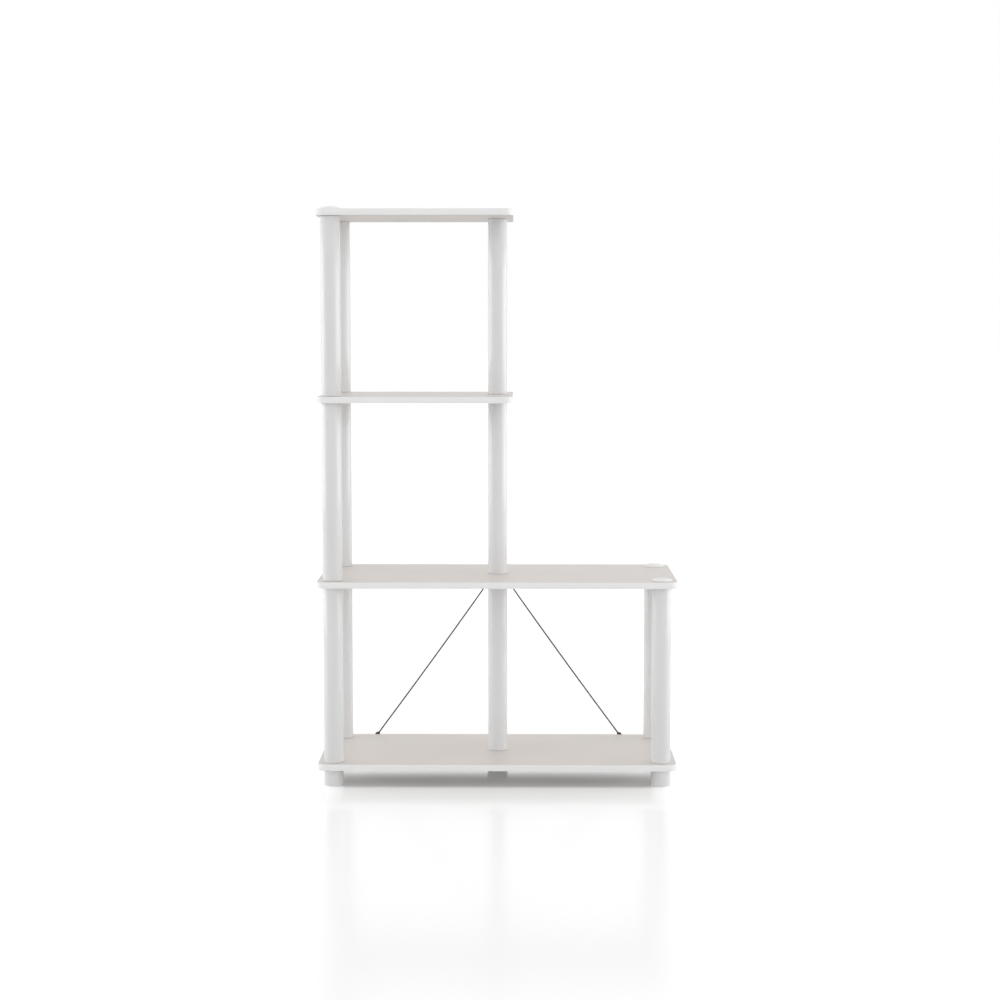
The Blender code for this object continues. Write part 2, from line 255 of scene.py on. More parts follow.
@dataclass(frozen=True)
class Grain:
    """A fine pattern: noise, or the distance to scattered points.

    The scale is blotches or points per metre, which each axis multiplies by its stretch. The
    detail is octaves of finer blotches.
    """

    scale: float = 1.0
    detail: float = 2.0
    stretch: Point = (1.0, 1.0, 1.0)
    scattered: bool = False

    def over(self, sheet: Sheet) -> Signal:
        """The pattern over a surface.

        Args:
            sheet: The material's nodes.

        Returns:
            Noise about 0.5, or the distance to the nearest point.
        """
        inputs = {"Vector": sheet.place(self.stretch), "Scale": self.scale}
        if self.scattered:
            return sheet.signal("ShaderNodeTexVoronoi", {"feature": "F1"}, inputs)
        return sheet.signal("ShaderNodeTexNoise", {}, inputs | {"Detail": self.detail})


@dataclass(frozen=True)
class Stain:
    """A second colour, which sets in as a pattern's values pass the spread.

    It is the finish's own colour by a tone and a hue, and a share of it is laid on.
    """

    grain: Grain
    spread: Pair
    tone: float = 1.0
    share: float = 1.0
    hue: Colour = (1.0, 1.0, 1.0)


@dataclass(frozen=True)
class Finish:
    """A surface: its colour, gloss and fine texture.

    Stains lie over the ground, a tone of the finish's colour. A pattern swings the roughness.
    The relief is another pattern, which can hold a share of a second one, the peel.
    """

    name: str
    slot: str
    colour: Colour
    roughness: float
    metallic: float = 0.0
    specular: float = 0.5
    ground: float = 1.0
    stains: tuple[Stain, ...] = ()
    gloss: Grain = Grain()
    gloss_swing: float = 0.12
    relief: Grain = Grain()
    relief_depth: float = 0.02 * MM
    peel: Grain | None = None
    peel_share: float = 0.4

    @cached_property
    def material(self) -> bpy.types.Material:
        """The finish as a material, made once.

        Returns:
            The material.
        """
        material = bpy.data.materials.new(self.name)
        material.use_nodes = True
        material.diffuse_color = (*self.colour, 1.0)
        shader = material.node_tree.nodes["Principled BSDF"]
        plain = {
            "Base Color": (*self.colour, 1.0),
            "Roughness": self.roughness,
            "Metallic": self.metallic,
            "Specular IOR Level": self.specular,
        }
        for name, value in plain.items():
            shader.inputs[name].default_value = value
        sheet = Sheet(material.node_tree)
        sheet.feed(shader.inputs["Base Color"], self.tint(sheet))
        swing = self.gloss.over(sheet) * self.gloss_swing
        sheet.feed(shader.inputs["Roughness"], swing + (self.roughness - self.gloss_swing / 2))
        heights = {"Height": self.height(sheet), "Distance": self.relief_depth}
        bump = sheet.node("ShaderNodeBump", {}, heights)
        sheet.feed(shader.inputs["Normal"], bump.outputs["Normal"])
        return material

    def toned(self, tone: float, hue: Colour = (1.0, 1.0, 1.0)) -> Colour:
        """The finish's colour by a tone and a hue."""
        return tuple(base * (tone * gain) for base, gain in zip(self.colour, hue))

    def tint(self, sheet: Sheet) -> Socket | Colour:
        """Colour over the surface: the ground with one stain after the other over it.

        Args:
            sheet: The material's nodes.

        Returns:
            The colour.
        """
        laid = self.toned(self.ground)
        for stain in self.stains:
            share = stain.grain.over(sheet).step(*stain.spread) * stain.share
            laid = sheet.blend(share, laid, self.toned(stain.tone, stain.hue))
        return laid

    def height(self, sheet: Sheet) -> Signal:
        """Height over the surface.

        Args:
            sheet: The material's nodes.

        Returns:
            The height.
        """
        relief = self.relief.over(sheet)
        if self.peel is None:
            return relief
        return relief * (1 - self.peel_share) + self.peel.over(sheet) * self.peel_share


@dataclass(frozen=True)
class Laminate(Finish):
    """Printed melamine paper pressed on particle board: soft clouds, fine pores and pebble."""

    ground: float = 0.975
    stains: tuple[Stain, ...] = (
        Stain(Grain(9.0, 4.0), (0.3, 0.7)),
        Stain(Grain(900.0, 1.0), (0.55, 0.8), tone=0.88, share=0.35),
    )
    gloss: Grain = Grain(36.0, 5.0)
    relief: Grain = Grain(900.0)


@dataclass(frozen=True)
class EdgeBand(Finish):
    """Plastic edging drawn round a board: long faint lines and a little orange peel."""

    stretch: ClassVar[Point] = (6.0, 6.0, 1400.0)
    stains: tuple[Stain, ...] = (
        Stain(Grain(1.0, 3.0, stretch), (0.35, 0.75), tone=0.95, share=0.5),
    )
    gloss: Grain = Grain(1.0, 2.0, stretch)
    gloss_swing: float = 0.16
    relief: Grain = Grain(1.0, 2.0, stretch)
    relief_depth: float = 0.03 * MM
    peel: Grain | None = Grain(260.0, 1.0)


@dataclass(frozen=True)
class Tube(Finish):
    """Extruded plastic tube: die lines along its length, faint clouds and soft gloss."""

    stretch: ClassVar[Point] = (520.0, 520.0, 2.5)
    stains: tuple[Stain, ...] = (
        Stain(Grain(1.0, 3.0, stretch), (0.4, 0.8), tone=0.965, share=0.5),
        Stain(Grain(14.0), (0.35, 0.75), tone=0.975, share=0.4),
    )
    gloss: Grain = Grain(1.0, 2.0, stretch)
    gloss_swing: float = 0.14
    relief: Grain = Grain(1.0, 2.0, stretch)


@dataclass(frozen=True)
class Moulding(Finish):
    """Injection-moulded plastic: the faintest flow clouds, and spark texture from the mould."""

    stains: tuple[Stain, ...] = (Stain(Grain(60.0, 3.0), (0.35, 0.75), tone=0.96, share=0.5),)
    gloss: Grain = Grain(180.0, 3.0)
    relief: Grain = Grain(1300.0, 1.5)


@dataclass(frozen=True)
class ChipCore(Finish):
    """Particle board where it is cut: pale and dark wood chips in resin, torn and dull."""

    chips: ClassVar[Grain] = Grain(520.0, stretch=(1.0, 1.0, 2.2), scattered=True)
    stains: tuple[Stain, ...] = (
        Stain(chips, (0.2, 0.6), tone=0.55),
        Stain(Grain(1040.0, 3.0), (0.45, 0.7), tone=0.75),
    )
    gloss: Grain = Grain(520.0)
    gloss_swing: float = 0.1
    relief: Grain = chips
    relief_depth: float = 0.2 * MM


@dataclass(frozen=True)
class DrawnWire(Finish):
    """Dark steel wire: draw marks and a mottled oxide skin, duller where it is thick."""

    stains: tuple[Stain, ...] = (Stain(Grain(420.0, 4.0), (0.4, 0.75), hue=(1.5, 1.35, 1.2)),)
    gloss: Grain = Grain(420.0, 3.0)
    gloss_swing: float = 0.3
    relief: Grain = Grain(1680.0)


LAMINATE = Laminate("laminate_face", "board_face", (0.804, 0.760, 0.726), 0.45, specular=0.25)
EDGE_BAND = EdgeBand("edge_band_white", "edge_band", (0.887, 0.884, 0.882), 0.36)
TUBE = Tube("post_tube_white", "post", (0.739, 0.743, 0.746), 0.17, specular=0.9)
CAP = Moulding("cap_white", "cap", (0.91, 0.905, 0.895), 0.34)
FOOT = Moulding("foot_white", "foot", (0.772, 0.772, 0.772), 0.34)
FITTING = Moulding("fitting_plastic", "fitting", (0.74, 0.74, 0.71), 0.45)
CORE = ChipCore("particle_core", "board_face", (0.62, 0.46, 0.30), 0.85)
WIRE = DrawnWire("brace_wire_steel", "brace_wire", (0.030, 0.031, 0.034), 0.42, metallic=0.6)
SCREW = DrawnWire("screw_black", "screw", (0.016, 0.016, 0.017), 0.42, metallic=0.7)


class Bench:
    """Modelling steps that the pieces share, done with Blender's own operators."""

    @staticmethod
    def clear_selection() -> None:
        """Leave edit mode and deselect everything."""
        if bpy.context.object and bpy.context.object.mode == "EDIT":
            bpy.ops.object.mode_set(mode="OBJECT")
        bpy.ops.object.select_all(action="DESELECT")

    @staticmethod
    def pick(piece: Piece) -> None:
        """Make one piece the only selected and the active one.

        Args:
            piece: The piece.
        """
        Bench.clear_selection()
        piece.select_set(True)
        bpy.context.view_layer.objects.active = piece

    @staticmethod
    def cylinder(
        name: str, radius: float, bottom: Point, height: float, facets: int, ends: str = "NGON"
    ) -> Piece:
        """Add an upright cylinder.

        Args:
            name: The object's name.
            radius: Its radius.
            bottom: The middle of its lower end.
            height: Its height.
            facets: Sides of its outline.
            ends: NGON for closed ends, NOTHING for open ones.

        Returns:
            The cylinder.
        """
        Bench.clear_selection()
        x, y, z = bottom
        bpy.ops.mesh.primitive_cylinder_add(
            vertices=facets,
            radius=radius,
            depth=height,
            end_fill_type=ends,
            location=(x, y, z + height / 2),
        )
        return Bench.settle(name)

    @staticmethod
    def lying_cylinder(
        name: str, radius: float, middle: Point, length: float, facets: int
    ) -> Piece:
        """Add a cylinder that lies front to back.

        Args:
            name: The object's name.
            radius: Its radius.
            middle: Its middle.
            length: Its length.
            facets: Sides of its outline.

        Returns:
            The cylinder.
        """
        Bench.clear_selection()
        bpy.ops.mesh.primitive_cylinder_add(
            vertices=facets,
            radius=radius,
            depth=length,
            location=middle,
            rotation=(math.pi / 2, 0.0, 0.0),
        )
        return Bench.settle(name)

    @staticmethod
    def block(name: str, low: Point, high: Point) -> Piece:
        """Add a box between two corners.

        Args:
            name: The object's name.
            low: Its lowest corner.
            high: Its highest corner.

        Returns:
            The box.
        """
        middle = tuple((a + b) / 2 for a, b in zip(low, high))
        size = tuple(b - a for a, b in zip(low, high))
        return Bench.bar(name, middle, size)

    @staticmethod
    def bar(name: str, middle: Point, size: Point, angle: float = 0.0) -> Piece:
        """Add a box about its middle, turned about its upright axis.

        Args:
            name: The object's name.
            middle: Its middle.
            size: Its length, width and height.
            angle: Its turn.

        Returns:
            The box.
        """
        Bench.clear_selection()
        bpy.ops.mesh.primitive_cube_add(
            size=1.0, location=middle, rotation=(0.0, 0.0, angle), scale=size
        )
        return Bench.settle(name)

    @staticmethod
    def settle(name: str) -> Piece:
        """Name the active object and move its place, turn and scale into its mesh.

        Args:
            name: The name.

        Returns:
            The object.
        """
        piece = bpy.context.object
        piece.name = name
        piece.data.name = name
        bpy.ops.object.transform_apply(location=True, rotation=True, scale=True)
        return piece

    @staticmethod
    def mark(piece: Piece, kind: str, test: Callable[[object], bool]) -> None:
        """Enter edit mode with some of a piece's faces, edges or vertices selected.

        Args:
            piece: The piece.
            kind: FACE, EDGE or VERT.
            test: Says whether an element is wanted.
        """
        Bench.pick(piece)
        bpy.ops.object.mode_set(mode="EDIT")
        bpy.ops.mesh.select_mode(type=kind)
        bpy.ops.mesh.select_all(action="DESELECT")
        shape = bmesh.from_edit_mesh(piece.data)
        shape.normal_update()
        elements = {"FACE": shape.faces, "EDGE": shape.edges, "VERT": shape.verts}[kind]
        for element in elements:
            element.select_set(test(element))
        shape.select_flush_mode()
        bmesh.update_edit_mesh(piece.data)

    @staticmethod
    def rise(edge: Edge) -> float:
        """How much higher one end of an edge lies than the other."""
        first, second = edge.verts
        return abs(first.co.z - second.co.z)

    @staticmethod
    def leave() -> None:
        """Leave edit mode."""
        bpy.ops.object.mode_set(mode="OBJECT")

    @staticmethod
    def ease(piece: Piece, test: Callable[[Edge], bool], radius: float, segments: int) -> None:
        """Bevel some of a piece's edges round.

        Args:
            piece: The piece.
            test: Says whether an edge is wanted.
            radius: How far the bevel reaches.
            segments: Its facets.
        """
        Bench.mark(piece, "EDGE", test)
        bpy.ops.mesh.bevel(offset=radius, segments=segments, affect="EDGES")
        Bench.leave()

    @staticmethod
    def apply(piece: Piece, kind: str, **settings: object) -> None:
        """Add a modifier and apply it.

        Args:
            piece: The piece.
            kind: The modifier's type.
            **settings: Its settings.
        """
        Bench.pick(piece)
        modifier = piece.modifiers.new(kind.lower(), kind)
        for name, value in settings.items():
            setattr(modifier, name, value)
        bpy.ops.object.modifier_apply(modifier=modifier.name)

    @staticmethod
    def combine(piece: Piece, tool: Piece, operation: str) -> None:
        """Add another shape by UNION, or cut it out by DIFFERENCE, and remove it then."""
        Bench.apply(piece, "BOOLEAN", operation=operation, solver="EXACT", object=tool)
        bpy.data.objects.remove(tool, do_unlink=True)

    @staticmethod
    def grow(piece: Piece, side: int, rings: Iterable[Pair], start: float, axis: Point) -> None:
        """Extrude a round end face ring by ring, as a turner would.

        Args:
            piece: The piece.
            side: 1 for its upper end, -1 for its lower one.
            rings: Radius and height of each further ring.
            start: Radius of the end face.
            axis: Its middle.
        """
        Bench.mark(piece, "FACE", lambda face: face.normal.z * side > LEVEL)
        x, y, z = axis
        radius = start
        for next_radius, next_z in rings:
            bpy.ops.mesh.extrude_region_move(
                TRANSFORM_OT_translate={"value": (0.0, 0.0, next_z - z)}
            )
            share = next_radius / radius
            bpy.ops.transform.resize(value=(share, share, 1.0), center_override=(x, y, next_z))
            radius, z = next_radius, next_z
        Bench.leave()

    @staticmethod
    def dome(radius: float, rim: float, rise: float, rings: int, flat: float) -> list[Pair]:
        """Radius and height of each ring of a dome, up to a crown as flat as a share of a ring."""
        angles = [math.pi / 2 * k / (rings + flat) for k in range(1, rings + 1)]
        return [(radius * math.cos(angle), rim + rise * math.sin(angle)) for angle in angles]

    @staticmethod
    def finish(piece: Piece, finish: Finish, angle: float = math.radians(30)) -> None:
        """Turn the faces outwards, shade the round ones smooth and give the finish.

        Args:
            piece: The piece.
            finish: Its finish.
            angle: Edges sharper than this stay sharp.
        """
        Bench.mark(piece, "FACE", lambda face: True)
        bpy.ops.mesh.normals_make_consistent(inside=False)
        Bench.leave()
        bpy.ops.object.shade_smooth_by_angle(angle=angle)
        piece.data.materials.clear()
        piece.data.materials.append(finish.material)

    @staticmethod
    def copy(piece: Piece, name: str, move: Vector) -> Piece:
        """Copy a piece with its mesh, and move the copy.

        Args:
            piece: The piece.
            name: The copy's name.
            move: How far the copy goes.

        Returns:
            The copy.
        """
        Bench.pick(piece)
        bpy.ops.object.duplicate(linked=False)
        bpy.context.object.location = move
        return Bench.settle(name)

    @staticmethod
    def repeat(piece: Piece, nodes: Sequence[str], ending: str) -> list[Piece]:
        """Stand a copy of a piece on every other solid of its kind.

        Args:
            piece: The piece, modelled where the first solid is.
            nodes: The solids.
            ending: What is added to a solid's name to name its piece.

        Returns:
            The piece and its copies, in the solids' order.
        """
        home = Span.of(nodes[0]).low
        others = nodes[1:]
        return [piece] + [
            Bench.copy(piece, f"{node}_{ending}", Span.of(node).low - home) for node in others
        ]

    @staticmethod
    def hand_over(piece: Piece, node: str) -> None:
        """Fix a finished piece to the body and let it stand for its solid.

        Args:
            piece: The piece.
            node: The solid that it replaces.
        """
        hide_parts(node)
        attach(piece, BODY)
        log.info("%s stands for %s, %d points", piece.name, node, len(piece.data.vertices))

    @staticmethod
    def stand(piece: Piece, nodes: Sequence[str], ending: str) -> None:
        """Let a piece and copies of it stand for all solids of its kind."""
        for made, node in zip(Bench.repeat(piece, nodes, ending), nodes):
            Bench.hand_over(made, node)

    @staticmethod
    def dress_solid(solid: Piece, finish: Finish) -> None:
        """Give a solid that stays its finish.

        Args:
            solid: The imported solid.
            finish: The finish.
        """
        solid.data.materials.clear()
        solid.data.materials.append(finish.material)
        log.info("%s keeps its solid", solid.name)


@dataclass(frozen=True)
class Span:
    """The box of a solid."""

    low: Vector
    high: Vector

    @classmethod
    @cache
    def of(cls, node: str) -> "Span":
        """The box of a named solid."""
        low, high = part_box(node)
        return cls(Vector(low), Vector(high))

    @property
    def middle(self) -> Vector:
        """The middle of the box."""
        return (self.low + self.high) / 2

    @property
    def size(self) -> Vector:
        """Its width, depth and height."""
        return self.high - self.low

    @property
    def foot(self) -> Point:
        """The middle of its underside."""
        return self.middle.x, self.middle.y, self.low.z


@dataclass(frozen=True)
class ShelfPair:
    """Two boards of one size with their edge bands: the lower is modelled and the upper copied."""

    nodes: tuple[str, str]
    places: tuple[Place, ...]
    tier: Tier
    screws: tuple[tuple[str, ...], tuple[str, ...]] = ((), ())
    corner_radius: float = 15.0 * MM
    band: float = 1.0 * MM
    glue_line: float = 0.06 * MM
    arris: float = 0.45 * MM
    stud_hole_radius: float = 6.5 * MM
    pilot_radius: float = 1.8 * MM
    pilot_depth: float = 14.3 * MM
    corner_facets: int = 14
    stud_hole_facets: int = 48
    pilot_facets: int = 24
    arris_segments: int = 4

    def build(self) -> None:
        """Model one board, copy it and drill both for their brace screws."""
        bands = [node + "_edge" for node in self.nodes]
        panels = Bench.repeat(self.panel(), self.nodes, "panel")
        edgings = Bench.repeat(self.edging(), bands, "band")
        for panel, edging, screws in zip(panels, edgings, self.screws):
            for screw in screws:
                Bench.combine(panel, self.pilot(screw), "DIFFERENCE")
                Bench.combine(edging, self.pilot(screw), "DIFFERENCE")
        for panel, edging, node in zip(panels, edgings, self.nodes):
            Bench.finish(panel, LAMINATE)
            self.bare_core(panel, Span.of(node))
            Bench.hand_over(panel, node)
            Bench.finish(edging, EDGE_BAND)
            Bench.hand_over(edging, node + "_edge")

    @property
    def outer(self) -> Span:
        """The lower board's box, its edge band included."""
        return Span.of(self.nodes[0] + "_edge")

    def rounded_block(self, name: str, inset: float) -> Piece:
        """A slab with rounded corners, as high as the board.

        Args:
            name: Its name.
            inset: How far its sides stand in from the board's.

        Returns:
            The slab.
        """
        low, high = self.outer.low, self.outer.high
        slab = Bench.block(
            name,
            (low.x + inset, low.y + inset, low.z),
            (high.x - inset, high.y - inset, high.z),
        )
        radius = self.corner_radius - inset
        Bench.ease(slab, lambda edge: Bench.rise(edge) > self.arris, radius, self.corner_facets)
        return slab

    def panel(self) -> Piece:
        """The board itself, drilled for the studs.

        Returns:
            The panel.
        """
        slab = self.rounded_block(f"{self.nodes[0]}_panel", self.band + self.glue_line)
        thickness = self.outer.size.z
        for place in self.places:
            axis = Span.of(f"{self.tier.value}_post_{place.value}").middle
            below = (axis.x, axis.y, self.outer.low.z - thickness)
            drill = Bench.cylinder(
                "stud_drill", self.stud_hole_radius, below, 3 * thickness, self.stud_hole_facets
            )
            Bench.combine(slab, drill, "DIFFERENCE")
        return slab

    def pilot(self, screw: str) -> Piece:
        """The shape that drills the hole for a brace screw into a board's back edge.

        Args:
            screw: The screw's solid.

        Returns:
            The drill.
        """
        axis = Span.of(screw).middle
        middle = (axis.x, self.outer.high.y, axis.z)
        length = 2 * self.pilot_depth
        return Bench.lying_cylinder(
            "pilot_drill", self.pilot_radius, middle, length, self.pilot_facets
        )

    def bare_core(self, panel: Piece, solid: Span) -> None:
        """Show wood chips wherever the laminate is cut through.

        Args:
            panel: The panel, laminated all over.
            solid: Its solid's box.
        """
        panel.data.materials.append(CORE.material)
        for face in panel.data.polygons:
            from_middle = abs(face.center.z - solid.middle.z)
            if from_middle < solid.size.z / 2 - self.arris / 2:
                face.material_index = 1

    def on_outline(self, point: Vector) -> bool:
        """Whether a point lies on the board's outer side.

        Args:
            point: A point of the edge band.

        Returns:
            True if it is nearer to the outer side than to the inner one.
        """
        low, high = self.outer.low, self.outer.high
        radius = self.corner_radius
        dx = max(low.x + radius - point.x, point.x - high.x + radius, 0.0)
        dy = max(low.y + radius - point.y, point.y - high.y + radius, 0.0)
        return math.hypot(dx, dy) > radius - self.band / 2

    def edging(self) -> Piece:
        """The plastic band round the board, its outer arrises eased.

        Returns:
            The band.
        """
        strip = self.rounded_block(f"{self.nodes[0]}_edge_band", 0.0)
        Bench.mark(strip, "FACE", lambda face: abs(face.normal.z) > LEVEL)
        bpy.ops.mesh.delete(type="FACE")
        Bench.leave()
        Bench.apply(strip, "SOLIDIFY", thickness=self.band, offset=-1.0, use_even_offset=True)
        Bench.ease(strip, self.is_arris, self.arris, self.arris_segments)
        return strip

    def is_arris(self, edge: Edge) -> bool:
        """Whether an edge is part of the band's upper or lower outer arris.

        Args:
            edge: An edge of the band.

        Returns:
            True if it is level, at one of the board's faces and on its outer side.
        """
        first, second = (vert.co for vert in edge.verts)
        level = Bench.rise(edge) < self.arris
        from_middle = abs(first.z - self.outer.middle.z)
        at_face = from_middle > self.outer.size.z / 2 - self.arris
        return level and at_face and self.on_outline(first) and self.on_outline(second)


@dataclass(frozen=True)
class Posts:
    """The hollow posts, all alike, with a plug in each end."""

    wall: float = 1.5 * MM
    lip: float = 0.35 * MM
    lip_segments: int = 3
    facets: int = 96

    def nodes(self, kind: str) -> list[str]:
        """The solids of one kind, tier by tier.

        Args:
            kind: post, stud_plug or socket_plug.

        Returns:
            Their names.
        """
        return [
            f"{tier.value}_{kind}_{place.value}"
            for tier, places in TIER_PLACES.items()
            for place in places
        ]

    def build(self, solids: dict[str, Piece]) -> None:
        """Make one tube, copy it to every place, and dress the plugs.

        Args:
            solids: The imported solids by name.
        """
        nodes = self.nodes("post")
        Bench.stand(self.tube(nodes[0]), nodes, "tube")
        for node in self.nodes("stud_plug") + self.nodes("socket_plug"):
            Bench.dress_solid(solids[node], FITTING)

    def tube(self, node: str) -> Piece:
        """The tube, cut square and slightly broken at its edges.

        Args:
            node: The solid that it stands for.

        Returns:
            The tube.
        """
        span = Span.of(node)
        tube = Bench.cylinder(
            node + "_tube", span.size.y / 2, span.foot, span.size.z, self.facets, ends="NOTHING"
        )
        Bench.apply(tube, "SOLIDIFY", thickness=self.wall, offset=-1.0, use_even_offset=True)
        Bench.ease(tube, lambda edge: Bench.rise(edge) < self.lip, self.lip, self.lip_segments)
        Bench.finish(tube, TUBE)
        return tube


@dataclass(frozen=True)
class Caps:
    """The domed caps, all alike, each with its stud."""

    rim: float = 1.0 * MM
    ease: float = 0.3 * MM
    stud_radius: float = 6.0 * MM
    stud_lead: float = 1.5 * MM
    head_height: float = 4.5 * MM
    dome_rings: int = 12
    crown_flat: float = 0.35
    smooth_angle: float = math.radians(40)
    facets: int = 96

    def build(self) -> None:
        """Turn one cap and copy it to every place."""
        nodes = [f"cap_{place.value}" for place in Place]
        Bench.stand(self.cap(nodes[0]), nodes, "turned")

    def cap(self, node: str) -> Piece:
        """One cap.

        Args:
            node: The solid that it stands for.

        Returns:
            The cap.
        """
        span = Span.of(node)
        radius = span.size.y / 2
        x, y, tip = span.foot
        seat = span.high.z - self.head_height
        neck = tip + self.stud_lead
        stud = self.stud_radius
        cap = Bench.cylinder(node + "_turned", stud, (x, y, neck), seat - neck, self.facets)
        Bench.grow(cap, -1, [(stud - self.stud_lead / 2, tip)], stud, (x, y, neck))
        Bench.grow(cap, 1, self.head_rings(radius, seat), stud, (x, y, seat))
        Bench.finish(cap, CAP, self.smooth_angle)
        return cap

    def head_rings(self, radius: float, seat: float) -> list[Pair]:
        """Rings of the head, from its underside to its crown.

        Args:
            radius: The rim's radius.
            seat: Height of the underside.

        Returns:
            Radius and height of each ring.
        """
        rim = seat + self.rim
        side = [(radius - self.ease, seat), (radius, seat + self.ease), (radius, rim)]
        rise = self.head_height - self.rim
        return side + Bench.dome(radius, rim, rise, self.dome_rings, self.crown_flat)


@dataclass(frozen=True)
class Feet:
    """The short feet, all alike: closed sole, skirt, and a boss on three webs for the stud."""

    skirt: float = 1.6 * MM
    boss_radius: float = 8.5 * MM
    bore_radius: float = 6.3 * MM
    sole: float = 4.0 * MM
    edge: float = 0.6 * MM
    web_thickness: float = 2.4 * MM
    web_bite: float = 0.5 * MM
    webs: int = 3
    edge_segments: int = 4
    facets: int = 96

    def build(self) -> None:
        """Mould one foot and copy it to every place."""
        nodes = [f"foot_{place.value}" for place in Place]
        Bench.stand(self.foot(nodes[0]), nodes, "moulded")

    def foot(self, node: str) -> Piece:
        """One foot, shaped from a single cylinder, with its webs added.

        Args:
            node: The solid that it stands for.

        Returns:
            The foot.
        """
        span = Span.of(node)
        radius = span.size.y / 2
        x, y, floor = span.foot
        top = span.high.z
        pocket = floor + self.sole
        foot = Bench.cylinder(node + "_moulded", radius, span.foot, span.size.z, self.facets)
        Bench.grow(
            foot,
            1,
            [
                (radius - self.skirt, top),
                (radius - self.skirt, pocket),
                (self.boss_radius, pocket),
                (self.boss_radius, top),
                (self.bore_radius, top),
                (self.bore_radius, pocket),
            ],
            radius,
            (x, y, top),
        )
        for k in range(self.webs):
            Bench.combine(foot, self.web(span, 2 * math.pi * k / self.webs), "UNION")
        Bench.ease(
            foot, lambda edge: self.is_sole_edge(edge, span), self.edge, self.edge_segments
        )
        Bench.finish(foot, FOOT)
        return foot

    def web(self, span: Span, angle: float) -> Piece:
        """One web between the skirt and the boss.

        Args:
            span: The foot's box.
            angle: Its direction.

        Returns:
            The web.
        """
        inner = self.boss_radius - self.web_bite
        outer = span.size.y / 2 - self.skirt / 2
        x, y, floor = span.foot
        middle = (inner + outer) / 2
        low = floor + self.sole / 2
        high = span.high.z
        place = (x + middle * math.cos(angle), y + middle * math.sin(angle), (low + high) / 2)
        size = (outer - inner, self.web_thickness, high - low)
        return Bench.bar("foot_web", place, size, angle)

    def is_sole_edge(self, edge: Edge, span: Span) -> bool:
        """Whether an edge runs round the sole.

        Args:
            edge: An edge of the foot.
            span: The foot's box.

        Returns:
            True if both its ends lie on the sole's rim.
        """
        x, y, floor = span.foot
        inside = span.size.y / 2 - self.edge
        return all(
            abs(vert.co.z - floor) < self.edge / 2
            and math.hypot(vert.co.x - x, vert.co.y - y) > inside
            for vert in edge.verts
        )


